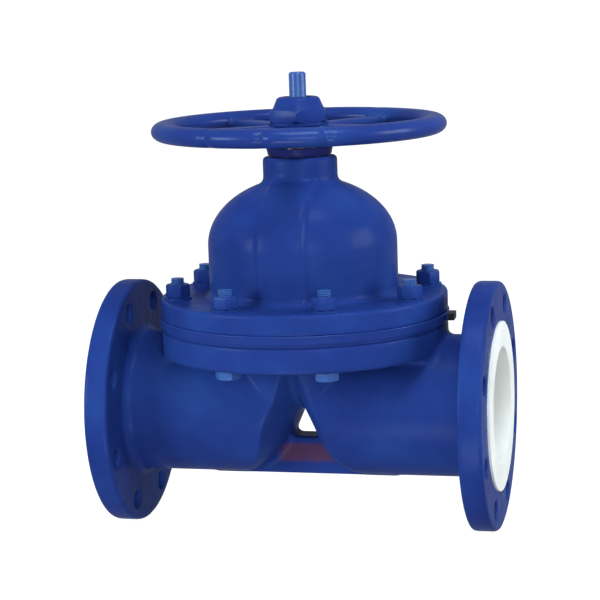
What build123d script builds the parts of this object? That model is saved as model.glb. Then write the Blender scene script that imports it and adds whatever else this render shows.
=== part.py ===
# Lined weir diaphragm valve with two pipe flanges, a rising stem and a handwheel.
# Millimetres. +X runs along the flow and +Z up the stem. The origin is the centre of
# the inlet flange's bolt circle, on that flange's machined face.
from build123d import *
import os
from math import acos, cos, degrees, radians, sin, sqrt

# ---- pipe flanges -------------------------------------------------------------
flange_span = 396.0  # between the two machined flange faces
flange_diameter = 250.0
flange_thickness = 24.0
flange_bolt_circle = 210.0
flange_bolt_count = 8
flange_hole_diameter = 19.0
flange_edge_radius = 2.0
barrel_fillet = 8.0  # between a pipe flange and its barrel

# ---- waterway -----------------------------------------------------------------
bore_diameter = 119.0  # inside the lining
lining_thickness = 3.0
iron_wall = 9.0
lip_diameter = 170.0  # the lining's sealing lip on each pipe flange
lip_proud = 2.0  # how far that lip stands out of the iron face
dish_diameter = 132.0  # round well under the diaphragm, inside the lining
well_ledge = 1.0  # how much wider than the bore the well is at the pipe axis
saddle_step = 0.5  # how much smaller than the well the round saddle over the weir is
weir_lean = 24.5  # degrees between a weir wall and the vertical
weir_bulge_radius = 125.0  # of the iron's outer wall, seen from above
notch_apex = 2.0  # height where the two outer weir walls meet
elbow_radius = 65.0  # outside, from the barrel's underside up into the weir wall
elbow_facets = 4  # leaning faces that make up the weir wall and its elbow
web_thickness = 30.0  # flat web that ties the two barrels together
web_height = 38.5
web_length = 190.0

# ---- clamped rims: body flange, diaphragm, bonnet flange ---------------------
rim_diameter = 290.0
body_rim_height = 83.0  # top face of the body's round flange
body_rim_thickness = 26.0
bonnet_rim_thickness = 21.0
rim_edge_radius = 2.5
rim_bolt_circle = 256.0
rim_bolt_count = 8
seal_diameter = 226.0  # outer edge of the lining on the body's round flange

# ---- diaphragm ----------------------------------------------------------------
face_thickness = 3.5
backing_thickness = 7.0
diaphragm_proud = 1.0  # how far the rubber edge stands out of the rims
face_inset = 1.0  # how far the face sheet's edge lies inside the rims
rest_opening = 10.0  # gap between the weir crest and the diaphragm at rest
dish_gap = 0.3  # between the diaphragm and the well's wall
tab_width = 20.0
tab_proud = 8.0
tab_angle = 3.0  # degrees from +X
stud_radius = 6.0
stud_head_radius = 13.0
stud_head_thickness = 3.5
stud_cover = 2.5  # rubber under the stud's head
stud_reach = 30.0  # length of the stud inside the compressor

# ---- bonnet -------------------------------------------------------------------
bonnet_wall = 9.0
dome_diameter = 191.0
dome_spring = 165.0  # height where the dome starts to close in
dome_rise = 67.0
guide_width = 45.0  # raised band over each compressor guide
guide_proud = 4.0
guide_cover = 8.0  # iron left outside each guide groove, in the straight part
guide_top = 182.0
bonnet_throat_radius = 70.0
throat_height = 11.5
neck_diameter = 75.0
neck_top = 252.5
neck_chamfer = 2.0
casting_fillet = 8.0

# ---- stem and stem nut --------------------------------------------------------
stem_diameter = 17.0
stem_top = 336.0
stem_chamfer = 1.5
stem_nut_radius = 18.0  # threaded top that the wheel sits on
stem_nut_shoulder_radius = 20.0
stem_nut_collar_radius = 25.0
stem_nut_spigot_radius = 15.0
bearing_floor = 230.0
bearing_radius = 28.0
thrust_washer_thickness = 3.0
collar_thickness = 10.0
spigot_length = 8.0

# ---- bearing cap, its seal and its screw --------------------------------------
cap_flange_bottom = 254.5
cap_flange_top = 261.5
cap_flange_bottom_radius = 32.0
cap_flange_top_radius = 33.5
cap_seal_radius = 1.3
cap_screw_radius = 2.5
cap_screw_height = 248.5

# ---- handwheel ----------------------------------------------------------------
wheel_diameter = 296.0
wheel_rim_width = 24.0
wheel_rim_height = 19.0
wheel_rim_middle = 281.5
wheel_hub_radius = 30.0
wheel_hub_bottom = 262.5
wheel_hub_top = 284.0
spoke_count = 5
spoke_width = 22.0
spoke_thickness = 12.0
spoke_turn = 62.0  # degrees from +X to the first spoke
key_width = 8.0
key_depth = 7.0
key_length = 18.0
key_sink = 4.0  # depth of the key in the stem nut
wheel_washer_thickness = 2.5
wheel_nut_across_flats = 55.0
wheel_nut_height = 25.0
wheel_nut_hex_height = 13.0
wheel_nut_crown_radius = 20.5

# ---- compressor ---------------------------------------------------------------
compressor_gap = 0.3  # between the compressor and the diaphragm's back
compressor_side_gap = 1.5
compressor_plate_thickness = 10.0
compressor_rise = 16.0  # from the nose sphere's centre to the top of the plate
finger_thickness = 10.0
finger_pitch = 28.0
nose_width = 30.0
boss_radius = 17.0
boss_height = 42.0
wing_thickness = 16.0
wing_height = 24.0
wing_lift = 10.0  # from the compressor's plate to its wings
wing_gap = 2.0  # between a wing's end and the end of its groove
wing_side_gap = 0.3
pin_radius = 4.0
pin_height = 27.0  # above the compressor's plate
stem_socket_depth = 30.0

# ---- rim fasteners ------------------------------------------------------------
bolt_diameter = 14.0
bolt_across_flats = 22.0
bolt_head_height = 8.8
bolt_hole_diameter = 16.0
bolt_end_length = 6.0
stud_depth = 21.0  # of the blind tapped holes over the barrels
nut_height = 12.8
washer_thickness = 2.0
washer_diameter = 28.0

# ---- clearances ---------------------------------------------------------------
running_gap = 0.05  # radial, shaft in its bore
fitted_gap = 0.03  # radial, between pieces that don't turn on each other
beyond = 10.0  # how far a cutter runs past what it cuts

# ---- worked out ---------------------------------------------------------------
stem_x = flange_span / 2
flange_radius = flange_diameter / 2
rim_radius = rim_diameter / 2
bore_radius = bore_diameter / 2
dish_radius = dish_diameter / 2
outer_grow = lining_thickness + iron_wall
barrel_radius = bore_radius + outer_grow
body_rim_bottom = body_rim_height - body_rim_thickness
backing_bottom = body_rim_height + face_thickness
bonnet_bottom = backing_bottom + backing_thickness
bonnet_rim_top = bonnet_bottom + bonnet_rim_thickness
dome_radius = dome_diameter / 2
neck_radius = neck_diameter / 2
stem_radius = stem_diameter / 2
diaphragm_depth = dish_radius - saddle_step - rest_opening
diaphragm_radius = dish_radius - saddle_step - dish_gap
diaphragm_inner_bottom = body_rim_height - diaphragm_depth + face_thickness + backing_thickness
cup_radius = diaphragm_radius - face_thickness - backing_thickness
nose_radius = cup_radius - compressor_side_gap
nose_centre = diaphragm_inner_bottom + compressor_gap + nose_radius
plate_top = nose_centre + compressor_rise
lean = radians(weir_lean)
stem_axis = Axis((stem_x, 0, 0), (0, 0, 1))


def level(height):
    """Horizontal plane centred on the stem."""
    return Plane.XY.offset(height).move(Location((stem_x, 0, 0)))


def station(x):
    """Plane across the pipe axis, facing +X."""
    return Plane.YZ.offset(x)


upright = Plane.XZ.move(Location((stem_x, 0, 0)))  # X to the right and Z up, through the stem


def facing_back(distance, height):
    """Plane that faces +Y, a distance behind the stem."""
    return Plane(origin=(stem_x, distance, height), x_dir=(1, 0, 0), z_dir=(0, 1, 0))


def leaning_plane(angle):
    """Across the axis of a leaning cylinder that is tangent to the elbow, angle degrees off vertical."""
    turn = radians(angle)
    centre_z = elbow_radius - barrel_radius
    centre_x = ((centre_z - notch_apex) * sin(lean) - elbow_radius) / cos(lean)
    back = elbow_radius - weir_bulge_radius
    middle = (stem_x + centre_x + back * cos(turn), 0, centre_z - back * sin(turn))
    return Plane(origin=middle, x_dir=(0, 1, 0), z_dir=(sin(turn), 0, cos(turn)))


def weir_walls(grow):
    """Everything between the two weirs' leaning walls and the flanges, grown outwards by grow."""
    with BuildPart() as walls:
        with BuildSketch(station(-beyond)):
            Rectangle(flange_diameter, flange_diameter)
        extrude(amount=flange_span)
        for facet in range(elbow_facets):
            angle = weir_lean + facet * (90 - weir_lean) / elbow_facets
            with BuildSketch(leaning_plane(angle).offset(-flange_span)):
                Circle(weir_bulge_radius - outer_grow + grow)
            extrude(amount=2 * flange_span, mode=Mode.INTERSECT)
        mirror(about=station(stem_x))
    return walls.part


def waterway(grow, start):
    """Straight pipe from x = start with the tapered well on it, cut off at the weir, grown by grow."""
    with BuildPart() as way:
        with BuildSketch(station(start)):
            Circle(bore_radius + grow)
        extrude(amount=flange_span - 2 * start)
        with BuildSketch(level(0)):
            Circle(bore_radius + well_ledge + grow)
        with BuildSketch(level(body_rim_height)):
            Circle(dish_radius + grow)
        loft()
        add(weir_walls(grow), mode=Mode.INTERSECT)
    return way.part


def open_waterway(grow):
    """The waterway's hollow with the round saddle over the weir's crest, grown outwards by grow."""
    with BuildPart() as hollow:
        add(waterway(grow, -lip_proud))
        hung = (Align.CENTER, Align.CENTER, Align.MAX)
        with Locations((stem_x, 0, body_rim_height)):
            Sphere(dish_radius - saddle_step + grow, arc_size1=-90, arc_size2=0, align=hung)
    return hollow.part


def hexagon_bar(plane, across_flats, height):
    """Upright hexagonal bar on a plane."""
    with BuildPart() as bar:
        with BuildSketch(plane):
            RegularPolygon(across_flats / 2, 6, major_radius=False)
        extrude(amount=height)
    return bar.part


rim_step = 360 / rim_bolt_count
rim_bolt_places = PolarLocations(rim_bolt_circle / 2, rim_bolt_count, rim_step / 2)
pipe_bolt_places = PolarLocations(flange_bolt_circle / 2, flange_bolt_count, 180 / flange_bolt_count)
rim_bolt_angles = [rim_step * (number + 0.5) for number in range(rim_bolt_count)]
stud_places = [
    (rim_bolt_circle / 2 * cos(radians(angle)), rim_bolt_circle / 2 * sin(radians(angle)))
    for angle in rim_bolt_angles
    if abs(cos(radians(angle))) > abs(sin(radians(angle)))
]
through_places = [
    (rim_bolt_circle / 2 * cos(radians(angle)), rim_bolt_circle / 2 * sin(radians(angle)))
    for angle in rim_bolt_angles
    if abs(cos(radians(angle))) <= abs(sin(radians(angle)))
]

iron_outside = waterway(outer_grow, flange_thickness / 2)
iron_hollow = open_waterway(lining_thickness)
fluid_space = open_waterway(0)

# ---- valve body ---------------------------------------------------------------
with BuildPart() as valve_body:
    with BuildSketch(station(0)):
        Circle(flange_radius)
    extrude(amount=flange_thickness)
    fillet(edges().filter_by(GeomType.CIRCLE), radius=flange_edge_radius)
    mirror(about=station(stem_x))
    add(iron_outside)
    rings = edges().filter_by(GeomType.CIRCLE)
    barrel_roots = rings.filter_by(lambda ring: abs(ring.radius - barrel_radius) < fitted_gap)
    fillet(barrel_roots, radius=barrel_fillet)
    with BuildSketch(level(body_rim_bottom)):
        Circle(rim_radius)
    extrude(amount=body_rim_thickness)
    with BuildSketch(Plane.XZ.offset(-web_thickness / 2)):
        with Locations((stem_x, web_height / 2 - barrel_radius)):
            Rectangle(web_length, web_height)
    extrude(amount=web_thickness)
    add(iron_hollow, mode=Mode.SUBTRACT)
    with BuildSketch(level(body_rim_height - lining_thickness)):
        Circle(seal_diameter / 2)
    extrude(amount=lining_thickness, mode=Mode.SUBTRACT)
    for face_x, inward in ((0, 1), (flange_span, -1)):
        with BuildSketch(station(face_x)):
            Circle(lip_diameter / 2)
        extrude(amount=inward * (lining_thickness - lip_proud), mode=Mode.SUBTRACT)
        with BuildSketch(station(face_x)):
            with pipe_bolt_places:
                Circle(flange_hole_diameter / 2)
        extrude(amount=inward * flange_thickness, mode=Mode.SUBTRACT)
    with BuildSketch(level(body_rim_bottom)):
        with Locations(*through_places):
            Circle(bolt_hole_diameter / 2)
    extrude(amount=body_rim_thickness, mode=Mode.SUBTRACT)
    with BuildSketch(level(body_rim_height - stud_depth)):
        with Locations(*stud_places):
            Circle(bolt_diameter / 2 + fitted_gap)
    extrude(amount=stud_depth, mode=Mode.SUBTRACT)

# ---- lining -------------------------------------------------------------------
with BuildPart() as body_lining:
    add(iron_hollow)
    for face_x, outward in ((lining_thickness - lip_proud, -1), (flange_span - lining_thickness + lip_proud, 1)):
        with BuildSketch(station(face_x)):
            Circle(lip_diameter / 2)
        extrude(amount=outward * lining_thickness)
    with BuildSketch(level(body_rim_height - lining_thickness)):
        Circle(seal_diameter / 2)
    extrude(amount=lining_thickness)
    add(fluid_space, mode=Mode.SUBTRACT)


def rim_drills(bottom, thickness):
    """The bolt holes through one clamped rim, as solids to subtract."""
    with BuildPart() as drills:
        with BuildSketch(level(bottom)):
            with rim_bolt_places:
                Circle(bolt_hole_diameter / 2)
        extrude(amount=thickness)
    return drills.part


def hanging_sheet(outside, inside, bottom, top, edge_radius):
    """Round sheet with a flat rim and an elliptical cup; outside and inside are (radius, depth)."""
    with BuildPart() as sheet:
        with BuildSketch(upright):
            with BuildLine():
                outer = EllipticalCenterArc((0, body_rim_height), *outside, 270, arc_size=90)
                Polyline(outer @ 1, (outside[0], bottom), (edge_radius, bottom), (edge_radius, top))
                Polyline((edge_radius, top), (inside[0], top), (inside[0], body_rim_height))
                inner = EllipticalCenterArc((0, body_rim_height), *inside, 270, arc_size=90)
                Line(inner @ 0, outer @ 0)
            make_face()
        revolve(axis=stem_axis)
        add(rim_drills(bottom, top - bottom), mode=Mode.SUBTRACT)
    return sheet.part


# ---- diaphragm ----------------------------------------------------------------
face_outside = (diaphragm_radius, diaphragm_depth)
face_inside = (diaphragm_radius - face_thickness, diaphragm_depth - face_thickness)
cup_inside = (cup_radius, diaphragm_depth - face_thickness - backing_thickness)
face_sheet = hanging_sheet(
    face_outside, face_inside, body_rim_height, backing_bottom, rim_radius - face_inset
)
backing_sheet = hanging_sheet(
    face_inside, cup_inside, backing_bottom, bonnet_bottom, rim_radius + diaphragm_proud
)

with BuildPart() as diaphragm_face:
    add(face_sheet)

stud_bottom = diaphragm_inner_bottom - backing_thickness + stud_cover
stud_top = diaphragm_inner_bottom + compressor_gap + stud_reach

with BuildPart() as diaphragm_backing:
    add(backing_sheet)
    with BuildSketch(level(backing_bottom)):
        with PolarLocations(rim_radius, 1, tab_angle):
            Rectangle(2 * tab_proud, tab_width)
    extrude(amount=backing_thickness)
    with BuildSketch(level(stud_bottom - fitted_gap)):
        Circle(stud_head_radius + fitted_gap)
    extrude(amount=stud_head_thickness + 2 * fitted_gap, mode=Mode.SUBTRACT)
    with BuildSketch(level(stud_bottom)):
        Circle(stud_radius + fitted_gap)
    extrude(amount=stud_top - stud_bottom, mode=Mode.SUBTRACT)

with BuildPart() as diaphragm_stud:
    with BuildSketch(level(stud_bottom)):
        Circle(stud_head_radius)
    extrude(amount=stud_head_thickness)
    with BuildSketch(level(stud_bottom)):
        Circle(stud_radius)
    extrude(amount=stud_top - stud_bottom)

# ---- bonnet -------------------------------------------------------------------
bearing_top = bearing_floor + 2 * thrust_washer_thickness + collar_thickness
inner_dome_radius = dome_radius - bonnet_wall
inner_dome_rise = dome_rise - bonnet_wall
guide_radius = dome_radius + guide_proud - guide_cover
neck_foot_angle = degrees(acos(neck_radius / dome_radius))
guide_foot_angle = degrees(acos(neck_radius / (dome_radius + guide_proud)))


def dome_sheet(radius, rise, end_angle, foot_radius):
    """Solid under an elliptical dome that stands on the bonnet's rim and ends at foot_radius."""
    with BuildPart() as dome:
        with BuildSketch(upright):
            with BuildLine():
                arc = EllipticalCenterArc((0, dome_spring), radius, rise, arc_size=end_angle)
                Polyline(arc @ 1, (foot_radius, bonnet_bottom), (radius, bonnet_bottom), arc @ 0)
            make_face()
        revolve(axis=stem_axis)
    return dome.part


guide_shell = dome_sheet(
    dome_radius + guide_proud, dome_rise + guide_proud, guide_foot_angle, neck_radius
)

with BuildPart() as guide_bands:
    add(guide_shell)
    with BuildSketch(level(bonnet_bottom)):
        Rectangle(guide_width, rim_diameter)
    extrude(amount=neck_top - bonnet_bottom, mode=Mode.INTERSECT)

with BuildPart() as bonnet:
    with BuildSketch(upright):
        with BuildLine():
            arc = EllipticalCenterArc(
                (0, dome_spring), dome_radius, dome_rise, arc_size=neck_foot_angle
            )
            Polyline(
                arc @ 1,
                (neck_radius, neck_top - neck_chamfer),
                (neck_radius - neck_chamfer, neck_top),
                (0, neck_top),
                (0, bonnet_bottom),
                (rim_radius, bonnet_bottom),
                (rim_radius, bonnet_rim_top),
                (dome_radius, bonnet_rim_top),
                arc @ 0,
            )
        make_face()
    revolve(axis=stem_axis)
    add(guide_bands.part)
    with BuildSketch(upright):
        with BuildLine():
            hollow = EllipticalCenterArc(
                (0, dome_spring), inner_dome_radius, inner_dome_rise, arc_size=90
            )
            Polyline(
                hollow @ 1,
                (0, bonnet_bottom),
                (bonnet_throat_radius, bonnet_bottom),
                (bonnet_throat_radius, bonnet_bottom + throat_height),
                (inner_dome_radius, bonnet_bottom + throat_height),
                hollow @ 0,
            )
        make_face()
    revolve(axis=stem_axis, mode=Mode.SUBTRACT)
    with BuildSketch(level(bonnet_bottom + throat_height)):
        Rectangle(wing_thickness + 2 * wing_side_gap, 2 * guide_radius)
    extrude(amount=guide_top - bonnet_bottom - throat_height, mode=Mode.SUBTRACT)
    with BuildSketch(level(dome_spring)):
        Circle(stem_nut_spigot_radius + running_gap)
    extrude(amount=neck_top - dome_spring, mode=Mode.SUBTRACT)
    with BuildSketch(level(bearing_floor)):
        Circle(bearing_radius)
    extrude(amount=neck_top - bearing_floor, mode=Mode.SUBTRACT)
    with BuildSketch(facing_back(bearing_radius - running_gap, cap_screw_height)):
        Circle(cap_screw_radius + fitted_gap)
    extrude(amount=neck_radius, mode=Mode.SUBTRACT)
    add(rim_drills(bonnet_bottom, bonnet_rim_thickness), mode=Mode.SUBTRACT)

# ---- bearing of the stem nut --------------------------------------------------
washer_bottoms = {
    "lower_thrust_washer": bearing_floor,
    "upper_thrust_washer": bearing_top - thrust_washer_thickness,
}
washer_bores = {
    "lower_thrust_washer": stem_nut_spigot_radius + running_gap,
    "upper_thrust_washer": stem_nut_shoulder_radius + running_gap,
}


def thrust_washer(name):
    """Flat ring above or below the stem nut's collar."""
    with BuildPart() as ring:
        with BuildSketch(level(washer_bottoms[name])):
            Circle(bearing_radius - running_gap)
            Circle(washer_bores[name], mode=Mode.SUBTRACT)
        extrude(amount=thrust_washer_thickness)
    return ring.part


with BuildPart() as lower_thrust_washer:
    add(thrust_washer("lower_thrust_washer"))

with BuildPart() as upper_thrust_washer:
    add(thrust_washer("upper_thrust_washer"))

collar_bottom = bearing_floor + thrust_washer_thickness + running_gap
collar_top = bearing_top - thrust_washer_thickness - running_gap
wheel_washer_top = wheel_hub_top + wheel_washer_thickness
wheel_nut_top = wheel_washer_top + wheel_nut_height
key_inner = stem_nut_radius - key_sink
key_middle = (wheel_hub_bottom + wheel_hub_top) / 2

with BuildPart() as stem_nut:
    with BuildSketch(level(bearing_floor - spigot_length)):
        Circle(stem_nut_spigot_radius)
    extrude(amount=wheel_nut_top - bearing_floor)
    with BuildSketch(level(collar_bottom)):
        Circle(stem_nut_collar_radius)
    extrude(amount=collar_top - collar_bottom)
    with BuildSketch(level(collar_bottom)):
        Circle(stem_nut_shoulder_radius)
    extrude(amount=wheel_hub_bottom - collar_bottom)
    with BuildSketch(level(wheel_hub_bottom)):
        Circle(stem_nut_radius)
    extrude(amount=wheel_washer_top + wheel_nut_hex_height - wheel_hub_bottom)
    with BuildSketch(level(bearing_floor - spigot_length)):
        Circle(stem_radius + running_gap)
    extrude(amount=wheel_nut_top, mode=Mode.SUBTRACT)
    with BuildSketch(level(key_middle)):
        with Locations((0, key_inner + key_depth / 2)):
            Rectangle(key_width, key_depth)
    extrude(amount=key_length / 2, both=True, mode=Mode.SUBTRACT)

with BuildPart() as wheel_key:
    with BuildSketch(level(key_middle)):
        with Locations((0, key_inner + key_depth / 2)):
            Rectangle(key_width - 2 * fitted_gap, key_depth - 2 * fitted_gap)
    extrude(amount=key_length / 2 - fitted_gap, both=True)

with BuildPart() as bearing_cap:
    with BuildSketch(level(bearing_top)):
        Circle(bearing_radius - running_gap)
    extrude(amount=cap_flange_bottom - bearing_top)
    with BuildSketch(level(cap_flange_bottom)):
        Circle(cap_flange_bottom_radius)
    with BuildSketch(level(cap_flange_top)):
        Circle(cap_flange_top_radius)
    loft()
    with BuildSketch(level(bearing_top)):
        Circle(stem_nut_shoulder_radius + running_gap)
    extrude(amount=cap_flange_top - bearing_top, mode=Mode.SUBTRACT)
    with BuildSketch(level(cap_flange_bottom)):
        Circle(stem_nut_shoulder_radius + running_gap + 2 * cap_seal_radius)
    extrude(amount=2 * cap_seal_radius, mode=Mode.SUBTRACT)

with BuildPart() as cap_seal:
    with BuildSketch(upright):
        with Locations((stem_nut_shoulder_radius + running_gap + cap_seal_radius, cap_flange_bottom + cap_seal_radius)):
            Circle(cap_seal_radius)
    revolve(axis=stem_axis)

with BuildPart() as cap_screw:
    with BuildSketch(facing_back(bearing_radius, cap_screw_height)):
        Circle(cap_screw_radius)
    extrude(amount=neck_radius - bearing_radius - 2 * running_gap)

# ---- handwheel, its washer and its nut ----------------------------------------
wheel_rim_centre = (wheel_diameter - wheel_rim_width) / 2
spoke_bottom = wheel_hub_top - spoke_thickness

with BuildPart() as handwheel:
    with BuildSketch(upright):
        with Locations((wheel_rim_centre, wheel_rim_middle)):
            Ellipse(wheel_rim_width / 2, wheel_rim_height / 2)
    revolve(axis=stem_axis)
    with BuildSketch(level(wheel_hub_bottom)):
        Circle(wheel_hub_radius)
    extrude(amount=wheel_hub_top - wheel_hub_bottom)
    with BuildSketch(level(spoke_bottom)):
        with PolarLocations(wheel_rim_centre / 2, spoke_count, spoke_turn):
            Rectangle(wheel_rim_centre, spoke_width)
    extrude(amount=spoke_thickness)
    with BuildSketch(level(wheel_hub_bottom)):
        Circle(stem_nut_radius + fitted_gap)
    extrude(amount=wheel_hub_top - wheel_hub_bottom, mode=Mode.SUBTRACT)
    with BuildSketch(level(key_middle)):
        with Locations((0, key_inner + key_depth / 2)):
            Rectangle(key_width, key_depth)
    extrude(amount=key_length / 2, both=True, mode=Mode.SUBTRACT)

with BuildPart() as wheel_washer:
    with BuildSketch(level(wheel_hub_top)):
        Circle(wheel_hub_radius)
        Circle(stem_nut_radius + fitted_gap, mode=Mode.SUBTRACT)
    extrude(amount=wheel_washer_thickness)

wheel_nut_bar = hexagon_bar(level(wheel_washer_top), wheel_nut_across_flats, wheel_nut_height)
wheel_nut_corner = wheel_nut_across_flats / sqrt(3)

with BuildPart() as wheel_nut:
    add(wheel_nut_bar)
    with BuildSketch(upright):
        with BuildLine():
            crown = EllipticalCenterArc(
                (wheel_nut_crown_radius, wheel_washer_top + wheel_nut_hex_height),
                wheel_nut_corner - wheel_nut_crown_radius,
                wheel_nut_height - wheel_nut_hex_height,
                arc_size=90,
            )
            Polyline(
                crown @ 1,
                (0, wheel_nut_top),
                (0, wheel_washer_top),
                (wheel_nut_corner, wheel_washer_top),
                crown @ 0,
            )
        make_face()
    revolve(axis=stem_axis, mode=Mode.INTERSECT)
    with BuildSketch(level(wheel_washer_top)):
        Circle(stem_nut_radius + fitted_gap)
    extrude(amount=wheel_nut_hex_height, mode=Mode.SUBTRACT)
    with BuildSketch(level(wheel_washer_top)):
        Circle(stem_nut_spigot_radius + fitted_gap)
    extrude(amount=wheel_nut_height, mode=Mode.SUBTRACT)

# ---- compressor, its pin and the stem -----------------------------------------
wing_bottom = plate_top + wing_lift
boss_top = plate_top + boss_height
pin_z = plate_top + pin_height
stem_bottom = boss_top - stem_socket_depth
wing_span = 2 * (guide_radius - wing_gap)

with BuildPart() as compressor:
    with BuildSketch(level(nose_centre - nose_radius - beyond)):
        Rectangle(nose_width, 2 * nose_radius + beyond)
        with GridLocations(1, finger_pitch, 1, 3):
            Rectangle(2 * nose_radius + beyond, finger_thickness)
    extrude(amount=plate_top - nose_centre + nose_radius + beyond)
    with BuildSketch(level(plate_top - compressor_plate_thickness)):
        Circle(nose_radius + beyond)
    extrude(amount=compressor_plate_thickness)
    with BuildSketch(upright):
        with BuildLine():
            ball = CenterArc((0, nose_centre), nose_radius, -90, 180)
            Line(ball @ 1, ball @ 0)
        make_face()
    revolve(axis=stem_axis, mode=Mode.INTERSECT, clean=False)
    with BuildSketch(level(plate_top)):
        Circle(boss_radius)
        Rectangle(wing_thickness, nose_radius)
    extrude(amount=boss_height)
    with BuildSketch(level(wing_bottom)):
        Rectangle(wing_thickness, wing_span)
    extrude(amount=wing_height)
    with BuildSketch(level(stem_bottom - fitted_gap)):
        Circle(stem_radius + fitted_gap)
    extrude(amount=boss_height, mode=Mode.SUBTRACT)
    with BuildSketch(level(nose_centre - nose_radius)):
        Circle(stud_radius + fitted_gap)
    extrude(amount=stud_top - nose_centre + nose_radius + fitted_gap, mode=Mode.SUBTRACT)
    with BuildSketch(station(stem_x)):
        with Locations((0, pin_z)):
            Circle(pin_radius + fitted_gap)
    extrude(amount=boss_radius, both=True, mode=Mode.SUBTRACT)

with BuildPart() as compressor_pin:
    with BuildSketch(station(stem_x)):
        with Locations((0, pin_z)):
            Circle(pin_radius)
    extrude(amount=boss_radius, both=True)

with BuildPart() as stem:
    with BuildSketch(level(stem_bottom)):
        Circle(stem_radius)
    extrude(amount=stem_top - stem_bottom)
    chamfer(edges().sort_by(Axis.Z)[-1], length=stem_chamfer)
    with BuildSketch(station(stem_x)):
        with Locations((0, pin_z)):
            Circle(pin_radius + fitted_gap)
    extrude(amount=boss_radius, both=True, mode=Mode.SUBTRACT)

# ---- rim fasteners ------------------------------------------------------------
nut_bottom = bonnet_rim_top + washer_thickness
bolt_top = nut_bottom + nut_height + bolt_end_length

with BuildPart() as bonnet_bolts:
    with BuildSketch(level(body_rim_bottom - bolt_head_height)):
        with Locations(*through_places):
            RegularPolygon(bolt_across_flats / 2, 6, major_radius=False)
    extrude(amount=bolt_head_height)
    with BuildSketch(level(body_rim_bottom)):
        with Locations(*through_places):
            Circle(bolt_diameter / 2)
    extrude(amount=bolt_top - body_rim_bottom)

with BuildPart() as bonnet_studs:
    with BuildSketch(level(body_rim_height - stud_depth)):
        with Locations(*stud_places):
            Circle(bolt_diameter / 2)
    extrude(amount=bolt_top - body_rim_height + stud_depth)

with BuildPart() as bonnet_washers:
    with BuildSketch(level(bonnet_rim_top)):
        with rim_bolt_places:
            Circle(washer_diameter / 2)
            Circle(bolt_diameter / 2 + fitted_gap, mode=Mode.SUBTRACT)
    extrude(amount=washer_thickness)

with BuildPart() as bonnet_nuts:
    with BuildSketch(level(nut_bottom)):
        with rim_bolt_places:
            RegularPolygon(bolt_across_flats / 2, 6, major_radius=False)
            Circle(bolt_diameter / 2 + fitted_gap, mode=Mode.SUBTRACT)
    extrude(amount=nut_height)

# ---- write every piece --------------------------------------------------------
os.makedirs("parts", exist_ok=True)
pieces = {
    "valve_body": valve_body,
    "body_lining": body_lining,
    "diaphragm_face": diaphragm_face,
    "diaphragm_backing": diaphragm_backing,
    "diaphragm_stud": diaphragm_stud,
    "bonnet": bonnet,
    "lower_thrust_washer": lower_thrust_washer,
    "upper_thrust_washer": upper_thrust_washer,
    "stem_nut": stem_nut,
    "wheel_key": wheel_key,
    "bearing_cap": bearing_cap,
    "cap_seal": cap_seal,
    "cap_screw": cap_screw,
    "handwheel": handwheel,
    "wheel_washer": wheel_washer,
    "wheel_nut": wheel_nut,
    "compressor": compressor,
    "compressor_pin": compressor_pin,
    "stem": stem,
    "bonnet_bolts": bonnet_bolts,
    "bonnet_studs": bonnet_studs,
    "bonnet_washers": bonnet_washers,
    "bonnet_nuts": bonnet_nuts,
}
for name, piece in pieces.items():
    piece.part.label = name
    export_step(piece.part, f"parts/{name}.step")
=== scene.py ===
"""Lined weir diaphragm valve in glossy blue enamel, on a pale studio floor.

Metres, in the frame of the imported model: X along the pipe, Z up the stem.
"""

import math

import bpy
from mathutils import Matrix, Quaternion, Vector


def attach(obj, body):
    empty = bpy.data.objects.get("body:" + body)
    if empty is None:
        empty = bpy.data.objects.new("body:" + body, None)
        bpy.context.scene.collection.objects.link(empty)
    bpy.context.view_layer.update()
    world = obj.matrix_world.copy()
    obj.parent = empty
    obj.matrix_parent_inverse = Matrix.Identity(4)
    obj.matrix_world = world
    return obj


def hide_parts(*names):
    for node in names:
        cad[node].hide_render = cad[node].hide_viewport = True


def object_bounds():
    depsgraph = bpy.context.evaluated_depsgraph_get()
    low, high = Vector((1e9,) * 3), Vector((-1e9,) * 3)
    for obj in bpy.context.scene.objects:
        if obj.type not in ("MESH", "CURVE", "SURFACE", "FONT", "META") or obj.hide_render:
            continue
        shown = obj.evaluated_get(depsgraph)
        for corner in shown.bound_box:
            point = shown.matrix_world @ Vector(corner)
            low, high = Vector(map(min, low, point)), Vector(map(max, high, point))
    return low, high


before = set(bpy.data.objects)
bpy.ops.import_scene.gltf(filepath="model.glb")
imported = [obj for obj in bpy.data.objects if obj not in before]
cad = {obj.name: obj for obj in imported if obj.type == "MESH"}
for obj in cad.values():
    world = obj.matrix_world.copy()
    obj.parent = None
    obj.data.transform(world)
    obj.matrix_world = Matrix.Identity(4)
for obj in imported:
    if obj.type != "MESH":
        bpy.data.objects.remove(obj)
cad_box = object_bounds()

stem_x = 0.198
stem_line = (stem_x, 0.0)


# ---- handling pieces ----------------------------------------------------------
def only(piece):
    """Select this piece alone and make it the active one."""
    bpy.ops.object.select_all(action="DESELECT")
    piece.select_set(True)
    bpy.context.view_layer.objects.active = piece


def unpicked(piece):
    """Leave nothing selected in a piece's mesh."""
    only(piece)
    bpy.ops.object.mode_set(mode="EDIT")
    bpy.ops.mesh.select_all(action="DESELECT")
    bpy.ops.object.mode_set(mode="OBJECT")


def pick_faces(piece, wanted):
    """Select the faces whose centre and normal pass the test, and leave edit mode open."""
    unpicked(piece)
    for face in piece.data.polygons:
        face.select = wanted(face.center, face.normal)
    bpy.ops.object.mode_set(mode="EDIT")
    bpy.ops.mesh.select_mode(type="FACE")


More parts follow.
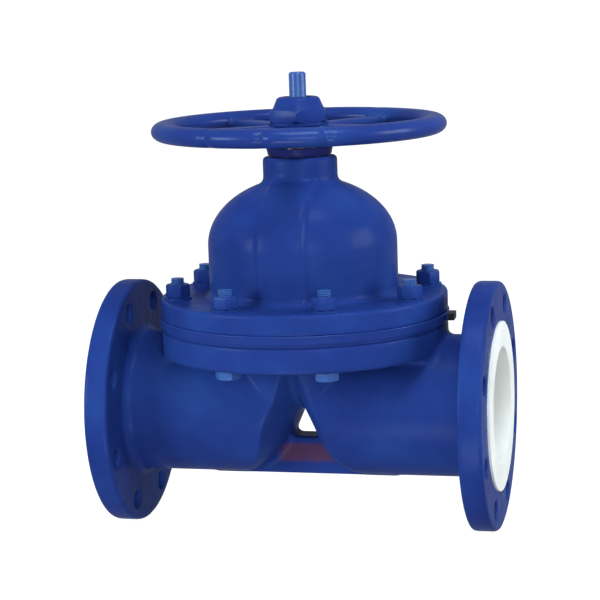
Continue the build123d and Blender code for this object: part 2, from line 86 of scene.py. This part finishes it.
def pick_points(piece, wanted):
    """Select the points whose place passes the test, and leave edit mode open."""
    unpicked(piece)
    for point in piece.data.vertices:
        point.select = wanted(point.co)
    bpy.ops.object.mode_set(mode="EDIT")
    bpy.ops.mesh.select_mode(type="VERT")


def add_modifier(piece, kind, **settings):
    """Add a modifier, set it and apply it."""
    only(piece)
    bpy.ops.object.modifier_add(type=kind)
    modifier = piece.modifiers[-1]
    for key, value in settings.items():
        setattr(modifier, key, value)
    bpy.ops.object.modifier_apply(modifier=modifier.name)


def at_origin(piece):
    """Put the piece's place, turn and size into its mesh."""
    only(piece)
    bpy.ops.object.transform_apply(location=True, rotation=True, scale=True)


def tidy_shell(piece):
    """Weld the piece's doubled points and turn its faces outwards."""
    only(piece)
    bpy.ops.object.mode_set(mode="EDIT")
    bpy.ops.mesh.select_all(action="SELECT")
    bpy.ops.mesh.remove_doubles(threshold=0.00001)
    bpy.ops.mesh.normals_make_consistent(inside=False)
    bpy.ops.object.mode_set(mode="OBJECT")


def rounded_shading(piece, degrees=35):
    """Smooth shading that keeps the hard edges."""
    only(piece)
    bpy.ops.object.shade_smooth_by_angle(angle=math.radians(degrees))


def upright_bar(centre, radius, bottom, top, sides=96, turn=0.0):
    """An upright bar between two heights, round or with a few flat sides."""
    middle = (centre[0], centre[1], (bottom + top) / 2)
    bpy.ops.mesh.primitive_cylinder_add(
        vertices=sides, radius=radius, depth=top - bottom, location=middle, rotation=(0, 0, turn)
    )
    bar = bpy.context.object
    at_origin(bar)
    return bar


def copy_of(node, name):
    """A separate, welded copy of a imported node's mesh."""
    piece = bpy.data.objects.new(name, cad[node].data.copy())
    bpy.context.scene.collection.objects.link(piece)
    tidy_shell(piece)
    return piece


def joined(pieces, name):
    """Join several pieces into one."""
    bpy.ops.object.select_all(action="DESELECT")
    for piece in pieces:
        piece.select_set(True)
    bpy.context.view_layer.objects.active = pieces[0]
    bpy.ops.object.join()
    pieces[0].name = name
    return pieces[0]


def finish_piece(piece, body, material, slot, *nodes):
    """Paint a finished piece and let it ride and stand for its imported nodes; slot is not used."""
    piece.data.materials.clear()
    piece.data.materials.append(material)
    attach(piece, body)
    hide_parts(*nodes)


# ---- finishes -----------------------------------------------------------------
def new_finish(name):
    """An empty node material and its three working parts."""
    finish = bpy.data.materials.new(name)
    finish.use_nodes = True
    tree = finish.node_tree
    shader = tree.nodes["Principled BSDF"]
    place = tree.nodes.new("ShaderNodeTexCoord")
    return finish, tree, shader, place


def noise(tree, place, scale, detail, roughness=0.5):
    """Noise on the piece's own place."""
    node = tree.nodes.new("ShaderNodeTexNoise")
    node.inputs["Scale"].default_value = scale
    node.inputs["Detail"].default_value = detail
    node.inputs["Roughness"].default_value = roughness
    tree.links.new(place.outputs["Object"], node.inputs["Vector"])
    return node


def ramp(tree, source, stops):
    """A colour ramp fed by a factor."""
    node = tree.nodes.new("ShaderNodeValToRGB")
    band = node.color_ramp
    while len(band.elements) < len(stops):
        band.elements.new(0.5)
    for element, (position, colour) in zip(band.elements, stops):
        element.position = position
        element.color = (*colour, 1.0)
    tree.links.new(source, node.inputs["Fac"])
    return node


def bumps(tree, shader, layers):
    """Stack bump layers of (height socket, strength, distance) into the shader's normal."""
    last = None
    for height, strength, distance in layers:
        node = tree.nodes.new("ShaderNodeBump")
        node.inputs["Strength"].default_value = strength
        node.inputs["Distance"].default_value = distance
        tree.links.new(height, node.inputs["Height"])
        if last is not None:
            tree.links.new(last.outputs["Normal"], node.inputs["Normal"])
        last = node
    tree.links.new(last.outputs["Normal"], shader.inputs["Normal"])


def shine(shader, coat, coat_roughness):
    """The shine that paint has: a thin clear coat over a body that hardly mirrors."""
    shader.inputs["Coat Weight"].default_value = coat
    shader.inputs["Coat Roughness"].default_value = coat_roughness
    shader.inputs["Specular IOR Level"].default_value = 0.02


# each paint from its deepest to its lightest blue
cobalt_paint = ((0.011, 0.026, 0.155), (0.013, 0.034, 0.184), (0.015, 0.046, 0.212))
# the collar's blues are darker than the cobalt to paint in the shade that falls under the wheel
collar_shade_paint = ((0.010, 0.012, 0.080), (0.012, 0.016, 0.100), (0.014, 0.022, 0.130))
# the stem's blues are lighter than the cobalt to paint in highlights on the stem, bolts and studs
stem_highlight_paint = ((0.026, 0.072, 0.26), (0.034, 0.094, 0.31), (0.044, 0.116, 0.36))


def enamel(name, cast, coat, paint=cobalt_paint):
    """Blue enamel; cast says how much of the casting's skin shows through, coat how much it shines."""
    deep, middle, light = paint
    finish, tree, shader, place = new_finish(name)
    broad = noise(tree, place, 14.0, 3.0)
    colour = ramp(tree, broad.outputs["Fac"], [(0.30, deep), (0.52, middle), (0.75, light)])
    tree.links.new(colour.outputs["Color"], shader.inputs["Base Color"])
    gloss = noise(tree, place, 60.0, 4.0)
    sheen = ramp(tree, gloss.outputs["Fac"], [(0.3, (0.24,) * 3), (0.7, (0.38,) * 3)])
    tree.links.new(sheen.outputs["Color"], shader.inputs["Roughness"])
    skin = noise(tree, place, 320.0, 3.0)
    lumps = noise(tree, place, 75.0, 2.0)
    layers = [(lumps.outputs["Fac"], 0.16 * cast, 0.004), (skin.outputs["Fac"], 0.2 * cast, 0.001)]
    bumps(tree, shader, layers)
    shine(shader, coat, coat_roughness=0.22)
    return finish


def plain_finish(name, dark, light, metallic, rough, grain, scale):
    """A finish with soft colour variation, uneven gloss and a fine grain."""
    finish, tree, shader, place = new_finish(name)
    cloud = noise(tree, place, scale, 4.0)
    colour = ramp(tree, cloud.outputs["Fac"], [(0.35, dark), (0.68, light)])
    tree.links.new(colour.outputs["Color"], shader.inputs["Base Color"])
    wear = noise(tree, place, scale * 3, 3.0)
    low, high = rough
    gloss = ramp(tree, wear.outputs["Fac"], [(0.3, (low,) * 3), (0.7, (high,) * 3)])
    tree.links.new(gloss.outputs["Color"], shader.inputs["Roughness"])
    fine = noise(tree, place, grain, 3.0)
    bumps(tree, shader, [(fine.outputs["Fac"], 0.15, 0.0006)])
    shader.inputs["Metallic"].default_value = metallic
    return finish


def from_stem(tree, place):
    """How far a point is from the stem's line, as a socket."""
    middle = tree.nodes.new("ShaderNodeMapping")
    middle.inputs["Location"].default_value = (-stem_x, 0.0, 0.0)
    middle.inputs["Scale"].default_value = (1.0, 1.0, 0.0)
    tree.links.new(place.outputs["Object"], middle.inputs["Vector"])
    length = tree.nodes.new("ShaderNodeVectorMath")
    length.operation = "LENGTH"
    tree.links.new(middle.outputs["Vector"], length.inputs[0])
    return length.outputs["Value"]


def beyond(tree, value, low, high):
    """0 below low and 1 above high."""
    step = tree.nodes.new("ShaderNodeMapRange")
    step.inputs["From Min"].default_value = low
    step.inputs["From Max"].default_value = high
    tree.links.new(value, step.inputs["Value"])
    return step.outputs["Result"]


def mixed(tree, share, first, second):
    """Two colours mixed by a share; each is a socket or a plain colour."""
    node = tree.nodes.new("ShaderNodeMix")
    node.data_type = "RGBA"
    tree.links.new(share, node.inputs["Factor"])
    for name, colour in (("A", first), ("B", second)):
        socket = [s for s in node.inputs if s.name == name and s.type == "RGBA"][0]
        if isinstance(colour, tuple):
            socket.default_value = (*colour, 1.0)
        else:
            tree.links.new(colour, socket)
    return [s for s in node.outputs if s.type == "RGBA"][0]


def painted_edge(name, inside, low, high):
    """A sheet of one colour whose clamped edge is painted over, and whose tab outside high is bare."""
    finish, tree, shader, place = new_finish(name)
    deep, middle, _ = cobalt_paint
    cloud = noise(tree, place, 30.0, 3.0)
    paint = ramp(tree, cloud.outputs["Fac"], [(0.3, deep), (0.7, middle)])
    bare = ramp(tree, cloud.outputs["Fac"], [(0.3, tuple(0.8 * part for part in inside)), (0.7, inside)])
    distance = from_stem(tree, place)
    on_edge = beyond(tree, distance, low, low + 0.0004)
    on_tab = beyond(tree, distance, high, high + 0.0006)
    edge = mixed(tree, on_edge, bare.outputs["Color"], paint.outputs["Color"])
    colour = mixed(tree, on_tab, edge, bare.outputs["Color"])
    tree.links.new(colour, shader.inputs["Base Color"])
    fine = noise(tree, place, 500.0, 3.0)
    bumps(tree, shader, [(fine.outputs["Fac"], 0.2, 0.0006)])
    shader.inputs["Roughness"].default_value = 0.35
    shine(shader, coat=0.13, coat_roughness=0.20)
    return finish


def worn_patch(finish, middle, half_size, primer):
    """Let the primer show through the paint in a soft-edged rectangle."""
    tree = finish.node_tree
    shader = tree.nodes["Principled BSDF"]
    paint = shader.inputs["Base Color"].links[0].from_socket
    place = tree.nodes["Texture Coordinate"]
    centred = tree.nodes.new("ShaderNodeVectorMath")
    centred.operation = "SUBTRACT"
    centred.inputs[1].default_value = middle
    tree.links.new(place.outputs["Object"], centred.inputs[0])
    scaled = tree.nodes.new("ShaderNodeVectorMath")
    scaled.operation = "DIVIDE"
    scaled.inputs[1].default_value = half_size
    tree.links.new(centred.outputs["Vector"], scaled.inputs[0])
    size = tree.nodes.new("ShaderNodeVectorMath")
    size.operation = "ABSOLUTE"
    tree.links.new(scaled.outputs["Vector"], size.inputs[0])
    sides = tree.nodes.new("ShaderNodeSeparateXYZ")
    tree.links.new(size.outputs["Vector"], sides.inputs["Vector"])
    widest = sides.outputs["X"]
    for side in ("Y", "Z"):
        larger = tree.nodes.new("ShaderNodeMath")
        larger.operation = "MAXIMUM"
        tree.links.new(widest, larger.inputs[0])
        tree.links.new(sides.outputs[side], larger.inputs[1])
        widest = larger.outputs["Value"]
    ragged = noise(tree, place, 150.0, 3.0)
    uneven = tree.nodes.new("ShaderNodeMath")
    uneven.operation = "MULTIPLY_ADD"
    uneven.inputs[1].default_value = 0.5
    tree.links.new(ragged.outputs["Fac"], uneven.inputs[0])
    tree.links.new(widest, uneven.inputs[2])
    colour = mixed(tree, beyond(tree, uneven.outputs["Value"], 0.95, 1.30), primer, paint)
    tree.links.new(colour, shader.inputs["Base Color"])


cast_enamel = enamel("cast_enamel", cast=1.0, coat=0.03)
body_enamel = enamel("body_enamel", cast=1.0, coat=0.03)
web_patch_middle = (0.199, -0.0150, -0.0490)
web_patch_half_size = (0.031, 0.008, 0.0105)
red_primer = (0.066, 0.030, 0.082)
worn_patch(body_enamel, web_patch_middle, web_patch_half_size, red_primer)

sheet_paint_start = 0.1400
tab_root = 0.1470
no_tab = 0.2
white_sheet = (0.85, 0.84, 0.82)
painted_face_sheet = painted_edge("painted_face_sheet", white_sheet, sheet_paint_start, no_tab)
painted_rubber = painted_edge("painted_rubber", (0.016, 0.016, 0.017), sheet_paint_start, tab_root)

smooth_enamel = enamel("smooth_enamel", cast=0.25, coat=0.10)
# painted shade: the collar under the wheel gets a darkened copy of the blue enamel
collar_shade_enamel = enamel("collar_shade_enamel", cast=0.25, coat=0.05, paint=collar_shade_paint)
wheel_enamel = enamel("wheel_enamel", cast=0.6, coat=0.18)
# painted highlight: the stem, bolts and studs get a lightened copy of the blue enamel
stem_highlight_enamel = enamel("stem_highlight_enamel", cast=0.1, coat=0.5, paint=stem_highlight_paint)

white_lining = plain_finish(
    "white_lining", (0.80, 0.79, 0.76), (0.90, 0.89, 0.87),
    metallic=0.0, rough=(0.30, 0.42), grain=500.0, scale=20.0
)
black_rubber = plain_finish(
    "black_rubber", (0.010, 0.010, 0.011), (0.022, 0.022, 0.024),
    metallic=0.0, rough=(0.55, 0.75), grain=900.0, scale=40.0
)
bright_steel = plain_finish(
    "bright_steel", (0.46, 0.46, 0.48), (0.62, 0.62, 0.64),
    metallic=1.0, rough=(0.22, 0.36), grain=1200.0, scale=60.0
)
worked_bronze = plain_finish(
    "worked_bronze", (0.42, 0.25, 0.09), (0.60, 0.38, 0.15),
    metallic=1.0, rough=(0.25, 0.4), grain=1200.0, scale=60.0
)
raw_iron = plain_finish(
    "raw_iron", (0.09, 0.09, 0.095), (0.17, 0.165, 0.16),
    metallic=0.8, rough=(0.5, 0.7), grain=400.0, scale=50.0
)

node_finish = {
    "valve_body": cast_enamel,
    "body_lining": white_lining,
    "diaphragm_face": painted_face_sheet,
    "diaphragm_backing": painted_rubber,
    "diaphragm_stud": bright_steel,
    "bonnet": cast_enamel,
    "lower_thrust_washer": bright_steel,
    "upper_thrust_washer": bright_steel,
    "stem_nut": worked_bronze,
    "wheel_key": bright_steel,
    "bearing_cap": collar_shade_enamel,
    "cap_seal": black_rubber,
    "cap_screw": smooth_enamel,
    "handwheel": wheel_enamel,
    "wheel_washer": smooth_enamel,
    "wheel_nut": smooth_enamel,
    "compressor": raw_iron,
    "compressor_pin": bright_steel,
    "stem": stem_highlight_enamel,
    "bonnet_bolts": stem_highlight_enamel,
    "bonnet_studs": stem_highlight_enamel,
    "bonnet_washers": smooth_enamel,
    "bonnet_nuts": smooth_enamel,
}
for node, finish in node_finish.items():
    cad[node].data.materials.clear()
    cad[node].data.materials.append(finish)


# ---- castings -------------------------------------------------------------------
def cast_skin(piece, voxel, hollow_round, corner_round, faces_kept):
    """Give a machined-looking shape the rounded corners and hollows of a sand casting."""
    add_modifier(piece, "REMESH", mode="VOXEL", voxel_size=voxel)
    for step in (hollow_round, -hollow_round - corner_round, corner_round):
        add_modifier(piece, "DISPLACE", direction="NORMAL", mid_level=0.0, strength=step)
        add_modifier(piece, "REMESH", mode="VOXEL", voxel_size=voxel)
    add_modifier(piece, "SMOOTH", factor=0.5, iterations=4)
    add_modifier(piece, "DECIMATE", decimate_type="COLLAPSE", ratio=faces_kept)
    rounded_shading(piece, 50)


def ring_round_stem(radius, half_width, half_height, height, around, across):
    """A ring round the stem with an oval section."""
    bpy.ops.mesh.primitive_torus_add(
        major_segments=around,
        minor_segments=across,
        major_radius=radius,
        minor_radius=half_width,
        location=(stem_x, 0, height),
    )
    ring = bpy.context.object
    ring.scale = (1.0, 1.0, half_height / half_width)
    at_origin(ring)
    return ring


def bored(piece, cutter):
    """Cut one piece out of another and drop the cutter."""
    add_modifier(piece, "BOOLEAN", operation="DIFFERENCE", solver="EXACT", object=cutter)
    bpy.data.objects.remove(cutter)


body_casting = copy_of("valve_body", "body_casting")
cast_skin(body_casting, voxel=0.0013, hollow_round=0.0032, corner_round=0.0007, faces_kept=0.22)
finish_piece(body_casting, "valve", body_enamel, "painted_iron", "valve_body")

cavity_radius = 0.093
dome_foot = 0.165
dome_rise = 0.0645
throat_radius = 0.033
bonnet_bottom = 0.0935
neck_top = 0.2525
hollow_bottom = 0.0905
hollow_top = 0.2550


def bonnet_core(bottom, top):
    """The space inside the bonnet, as a solid from bottom to top."""
    barrel = upright_bar(stem_line, cavity_radius, bottom, dome_foot, sides=128)
    bpy.ops.mesh.primitive_uv_sphere_add(
        segments=128, ring_count=64, radius=cavity_radius, location=(stem_x, 0, dome_foot)
    )
    cap = bpy.context.object
    cap.scale = (1.0, 1.0, dome_rise / cavity_radius)
    at_origin(cap)
    throat = upright_bar(stem_line, throat_radius, dome_foot, top)
    for part in (cap, throat):
        add_modifier(barrel, "BOOLEAN", operation="UNION", solver="EXACT", object=part)
        bpy.data.objects.remove(part)
    return barrel


# the inside stays as packed: it is filled before the casting's skin is made and cut out again afterwards,
# by a cutter that runs past both ends so that no thin sheet is left there
bonnet_casting = copy_of("bonnet", "bonnet_casting")
plug = bonnet_core(bonnet_bottom, neck_top)
hollow = bonnet_core(hollow_bottom, hollow_top)
add_modifier(hollow, "BOOLEAN", operation="DIFFERENCE", solver="EXACT", object=bonnet_casting)
bonnet_casting = joined([bonnet_casting, plug], "bonnet_casting")
cast_skin(bonnet_casting, voxel=0.0012, hollow_round=0.0045, corner_round=0.0006, faces_kept=0.3)
bored(bonnet_casting, hollow)
finish_piece(bonnet_casting, "valve", cast_enamel, "painted_iron", "bonnet")

# the paint has run into the joint between the bonnet's rim and the diaphragm
bead_radius = 0.1451
joint_height = 0.0937
paint_bead = ring_round_stem(
    bead_radius, half_width=0.0012, half_height=0.00096, height=joint_height, around=256, across=12
)
paint_bead.name = "paint_bead"
add_modifier(paint_bead, "REMESH", mode="VOXEL", voxel_size=0.0004)
add_modifier(paint_bead, "DECIMATE", decimate_type="COLLAPSE", ratio=0.25)
rounded_shading(paint_bead, 60)
finish_piece(paint_bead, "valve", wheel_enamel, "painted_iron")

# ---- handwheel ------------------------------------------------------------------
wheel_middle = 0.2815
ring_radius = 0.136
grips = 30
grip_depth = 0.0030
grip_reach = 0.0068
on_line = 0.0004
outer_side = ring_radius + 0.003
spokes = 5
first_spoke = math.radians(62.0)
spoke_middle = 0.077
spoke_size = (0.108, 0.022, 0.0125)
spoke_height = 0.2775
spoke_taper = (0.84, 0.84, 0.9)
spoke_edge = 0.0035
hub_radius = 0.030
hub_bottom = 0.2625
hub_top = 0.284
sleeve_bore = 0.01803
bore_bottom = 0.243
bore_top = 0.303


def around_stem(distance, angle, height):
    """A place at a distance and angle from the stem."""
    return Vector((stem_x + distance * math.cos(angle), distance * math.sin(angle), height))


def wheel_ring():
    """The wheel's rim with the finger waves on its outer side."""
    ring = ring_round_stem(
        ring_radius, half_width=0.012, half_height=0.0095, height=wheel_middle, around=360, across=32
    )
    for grip in range(grips):
        angle = (grip + 0.5) * math.tau / grips
        outwards = Vector((math.cos(angle), math.sin(angle), 0.0))
        across = Vector((-outwards.y, outwards.x, 0.0))

        def outer_line(place):
            arm = place - Vector((stem_x, 0.0, wheel_middle))
            return abs(arm.dot(across)) < on_line and arm.dot(outwards) > outer_side

        pick_points(ring, outer_line)
        bpy.ops.transform.translate(
            value=-grip_depth * outwards,
            use_proportional_edit=True,
            proportional_edit_falloff="SMOOTH",
            proportional_size=grip_reach,
        )
        bpy.ops.object.mode_set(mode="OBJECT")
    return ring


def wheel_spoke(angle):
    """One tapered spoke from the hub into the rim."""
    middle = around_stem(spoke_middle, angle, spoke_height)
    bpy.ops.mesh.primitive_cube_add(size=1.0, location=middle, rotation=(0, 0, angle))
    spoke = bpy.context.object
    spoke.scale = spoke_size
    at_origin(spoke)
    outer_end = around_stem(spoke_middle + spoke_size[0] / 2, angle, spoke_height)
    pick_faces(spoke, lambda centre, normal: (centre - outer_end).length < 0.004)
    bpy.ops.transform.resize(value=spoke_taper, center_override=outer_end)
    bpy.ops.object.mode_set(mode="OBJECT")
    add_modifier(spoke, "BEVEL", width=spoke_edge, segments=4, limit_method="ANGLE")
    return spoke


wheel_hub = upright_bar(stem_line, hub_radius, hub_bottom, hub_top)
wheel_parts = [wheel_ring(), wheel_hub]
for number in range(spokes):
    wheel_parts.append(wheel_spoke(first_spoke + number * math.tau / spokes))
wheel_casting = joined(wheel_parts, "wheel_casting")
cast_skin(wheel_casting, voxel=0.0013, hollow_round=0.0035, corner_round=0.0008, faces_kept=0.4)
bored(wheel_casting, upright_bar(stem_line, sleeve_bore, bore_bottom, bore_top))
rounded_shading(wheel_casting, 50)
finish_piece(wheel_casting, "wheel", wheel_enamel, "painted_iron", "handwheel")


# ---- hexagon nuts, bolts and studs -----------------------------------------------
def hexagon(place, across, height, chamfer, turn=0.0):
    """A hexagonal block whose corners are turned down at both ends; place is the middle of its foot."""
    corner = across / math.sqrt(3)
    foot = place[2]
    block = upright_bar(place, corner, foot, foot + height, sides=6, turn=turn)
    just_past_corner = corner * 1.001
    turned = upright_bar(place, just_past_corner, foot, foot + height)
    pick_faces(turned, lambda centre, normal: abs(normal.z) > 0.9)
    bpy.ops.mesh.bevel(offset=chamfer, segments=1, affect="EDGES")
    bpy.ops.object.mode_set(mode="OBJECT")
    add_modifier(block, "BOOLEAN", operation="INTERSECT", solver="EXACT", object=turned)
    bpy.data.objects.remove(turned)
    return block


def threaded_rod(radius, bottom, top, thread_bottom, pitch):
    """A round rod on the origin's upright, from bottom to top, with a thread at its upper end."""
    bpy.ops.mesh.primitive_circle_add(vertices=48, radius=radius, fill_type="NGON", location=(0, 0, bottom))
    rod = bpy.context.object
    at_origin(rod)
    bpy.ops.object.mode_set(mode="EDIT")
    bpy.ops.mesh.select_all(action="SELECT")
    bpy.ops.mesh.extrude_region_move(TRANSFORM_OT_translate={"value": (0, 0, thread_bottom - bottom)})
    height = thread_bottom
    root = 1.0 - thread_depth * pitch / radius
    while height + pitch < top:
        for ratio in (root, 1.0 / root):
            bpy.ops.mesh.extrude_region_move(TRANSFORM_OT_translate={"value": (0, 0, pitch / 2)})
            bpy.ops.transform.resize(value=(ratio, ratio, 1.0), center_override=(0, 0, height))
        height = height + pitch
    bpy.ops.mesh.extrude_region_move(TRANSFORM_OT_translate={"value": (0, 0, top - height)})
    bpy.ops.transform.resize(value=rod_tip, center_override=(0, 0, top))
    bpy.ops.object.mode_set(mode="OBJECT")
    tidy_shell(rod)
    return rod


def copied_to(piece, place, turn):
    """A copy of a piece made round the origin, turned and set down at a place."""
    only(piece)
    bpy.ops.object.duplicate(linked=False)
    twin = bpy.context.object
    twin.location = place
    twin.rotation_euler = (0, 0, turn)
    at_origin(twin)
    return twin


def softened(piece, width, segments):
    """Break the sharp edges of a machined piece."""
    add_modifier(
        piece, "BEVEL", width=width, segments=segments, limit_method="ANGLE", angle_limit=math.radians(25)
    )


def set_round_rim(model, angles, foot, turns, name):
    """Copy a model to places on the bolt circle, join the copies and drop the model."""
    copies = []
    for angle, turn in zip(angles, turns):
        copies.append(copied_to(model, around_stem(bolt_circle, angle, foot), turn))
    bpy.data.objects.remove(model)
    group = joined(copies, name)
    rounded_shading(group, 25)
    return group


bolt_circle = 0.128
bolt_angles = [math.radians(22.5 + 45.0 * number) for number in range(8)]
over_barrel = [angle for angle in bolt_angles if abs(math.cos(angle)) > 0.7]
between_barrels = [angle for angle in bolt_angles if abs(math.cos(angle)) < 0.7]
nut_foot = 0.1165
nut_height = 0.0128
nut_across = 0.022
nut_turns = [0.35, 1.1, 0.1, 0.7, 0.5, 0.25, 0.95, 0.6]
rod_radius = 0.007
rod_top = 0.1353
rod_pitch = 0.002
thread_depth = 0.6
rod_tip = (0.86, 0.86, 1.0)
nut_clearance = 0.00003
head_top = 0.057
head_height = 0.0088
head_turns = [0.2, 0.9, 0.55, 0.3]
bolt_thread_start = 0.060
stud_foot = 0.062
stud_thread_start = 0.055
stud_turns = [0.4] * 4
origin_line = (0.0, 0.0)

nut_model = hexagon((0, 0, 0), nut_across, nut_height, chamfer=0.0017)
bored(nut_model, upright_bar(origin_line, rod_radius + nut_clearance, -0.02, 0.02, sides=48))
softened(nut_model, width=0.0004, segments=2)
rim_nuts = set_round_rim(nut_model, bolt_angles, nut_foot, nut_turns, "rim_nuts")
finish_piece(rim_nuts, "valve", smooth_enamel, "painted_steel", "bonnet_nuts")

head_model = hexagon((0, 0, -head_height), nut_across, head_height, chamfer=0.0015)
softened(head_model, width=0.0004, segments=2)
shank_model = threaded_rod(rod_radius, -0.001, rod_top - head_top, bolt_thread_start, rod_pitch)
bolt_model = joined([head_model, shank_model], "bolt_model")
rim_bolts = set_round_rim(bolt_model, between_barrels, head_top, head_turns, "rim_bolts")
finish_piece(rim_bolts, "valve", stem_highlight_enamel, "painted_steel", "bonnet_bolts")

stud_model = threaded_rod(rod_radius, 0.0, rod_top - stud_foot, stud_thread_start, rod_pitch)
rim_studs = set_round_rim(stud_model, over_barrel, stud_foot, stud_turns, "rim_studs")
finish_piece(rim_studs, "valve", stem_highlight_enamel, "painted_steel", "bonnet_studs")

crown_foot = 0.2865
crown_across = 0.055
crown_height = 0.0130
crown_turn = math.radians(8.7)
cone_middle = 0.3050
cone_height = 0.0130
cone_foot_radius = 0.0262
cone_top_radius = 0.0207
cone_round = 0.0028
stem_bore = 0.01503
crown_nut = hexagon((stem_x, 0, crown_foot), crown_across, crown_height, chamfer=0.0030, turn=crown_turn)
crown_nut.name = "crown_nut"
bpy.ops.mesh.primitive_cone_add(
    vertices=96,
    radius1=cone_foot_radius,
    radius2=cone_top_radius,
    depth=cone_height,
    location=(stem_x, 0, cone_middle),
)
crown = bpy.context.object
at_origin(crown)
pick_faces(crown, lambda centre, normal: normal.z > 0.9)
bpy.ops.mesh.bevel(offset=cone_round, segments=5, affect="EDGES")
bpy.ops.object.mode_set(mode="OBJECT")
add_modifier(crown_nut, "BOOLEAN", operation="UNION", solver="EXACT", object=crown)
bpy.data.objects.remove(crown)
bored(crown_nut, upright_bar(stem_line, sleeve_bore, crown_foot - crown_height, crown_foot + crown_height))
bored(crown_nut, upright_bar(stem_line, stem_bore, crown_foot - 0.05, crown_foot + 0.05))
softened(crown_nut, width=0.0008, segments=3)
rounded_shading(crown_nut, 30)
finish_piece(crown_nut, "wheel", smooth_enamel, "painted_steel", "wheel_nut")

# ---- floor, light and camera ---------------------------------------------------
floor_height = cad_box[0].z
floor_size = 160.0
floor_glow = 0.97
bpy.ops.mesh.primitive_plane_add(size=floor_size, location=(stem_x, 0.0, floor_height))
floor = bpy.context.object
floor.name = "studio_floor"
at_origin(floor)
floor_finish, floor_tree, floor_shader, floor_place = new_finish("studio_floor")
floor_cloud = noise(floor_tree, floor_place, 0.8, 2.0)
floor_colour = ramp(floor_tree, floor_cloud.outputs["Fac"], [(0.3, (0.19,) * 3), (0.7, (0.21,) * 3)])
floor_tree.links.new(floor_colour.outputs["Color"], floor_shader.inputs["Base Color"])
floor_shader.inputs["Roughness"].default_value = 0.8
floor_shader.inputs["Emission Color"].default_value = (1.0, 1.0, 1.0, 1.0)
floor_shader.inputs["Emission Strength"].default_value = floor_glow
floor_shader.inputs["Specular IOR Level"].default_value = 0.1
floor.data.materials.append(floor_finish)
# the floor gives the piece no light of its own, so that its undersides stay dark
floor.visible_diffuse = False
floor.visible_glossy = False
floor.visible_shadow = False

world = bpy.data.worlds.new("studio")
bpy.context.scene.world = world
world.use_nodes = True
world_tree = world.node_tree
backdrop = world_tree.nodes["Background"]
backdrop.inputs["Color"].default_value = (1.0, 1.0, 1.0, 1.0)
backdrop.inputs["Strength"].default_value = 1.0
room = world_tree.nodes.new("ShaderNodeBackground")
room.inputs["Color"].default_value = (0.92, 0.95, 1.0, 1.0)
room.inputs["Strength"].default_value = 0.38
seen = world_tree.nodes.new("ShaderNodeLightPath")
either = world_tree.nodes.new("ShaderNodeMixShader")
world_tree.links.new(seen.outputs["Is Camera Ray"], either.inputs["Fac"])
world_tree.links.new(room.outputs["Background"], either.inputs[1])
world_tree.links.new(backdrop.outputs["Background"], either.inputs[2])
world_tree.links.new(either.outputs["Shader"], world_tree.nodes["World Output"].inputs["Surface"])


def soft_box(name, place, aim, size, power, colour=(1.0, 1.0, 1.0)):
    """A square soft light that faces a point."""
    bpy.ops.object.light_add(type="AREA", location=place)
    lamp = bpy.context.object
    lamp.name = name
    lamp.data.shape = "SQUARE"
    lamp.data.size = size
    lamp.data.energy = power
    lamp.data.color = colour
    lamp.rotation_euler = (Vector(aim) - Vector(place)).to_track_quat("-Z", "Y").to_euler()


aim = (stem_x, 0.0, 0.08)
soft_box("right_soft_box", (1.0, -2.3, 0.5), aim, 1.0, 17.0, (0.86, 0.98, 1.0))
soft_box("left_soft_box", (-1.5, -1.6, 0.6), aim, 0.9, 41.0, (0.82, 1.0, 0.98))
soft_box("top_soft_box", (0.5, -0.5, 1.9), aim, 0.9, 27.0, (0.78, 0.95, 1.0))
soft_box("end_soft_box", (2.3, 0.05, 0.65), aim, 1.1, 38.0, (0.90, 1.0, 1.0))
soft_box("table_soft_box", (0.3, -1.5, -0.9), aim, 0.7, 12.0)

camera_place = (0.6968, -1.9939, 0.4429)
camera_aim = (0.19324, 0.0, 0.1057)
camera_roll = math.radians(1.915)
bpy.ops.object.camera_add(location=camera_place)
camera = bpy.context.object
camera.name = "studio_camera"
camera.data.sensor_width = 36.0
camera.data.lens = 123.3
look = Vector(camera_aim) - camera.location
camera.rotation_mode = "QUATERNION"
roll = Quaternion(look.normalized(), camera_roll)
camera.rotation_quaternion = roll @ look.to_track_quat("-Z", "Y")
bpy.context.scene.camera = camera
bpy.context.scene.view_settings.view_transform = "Standard"
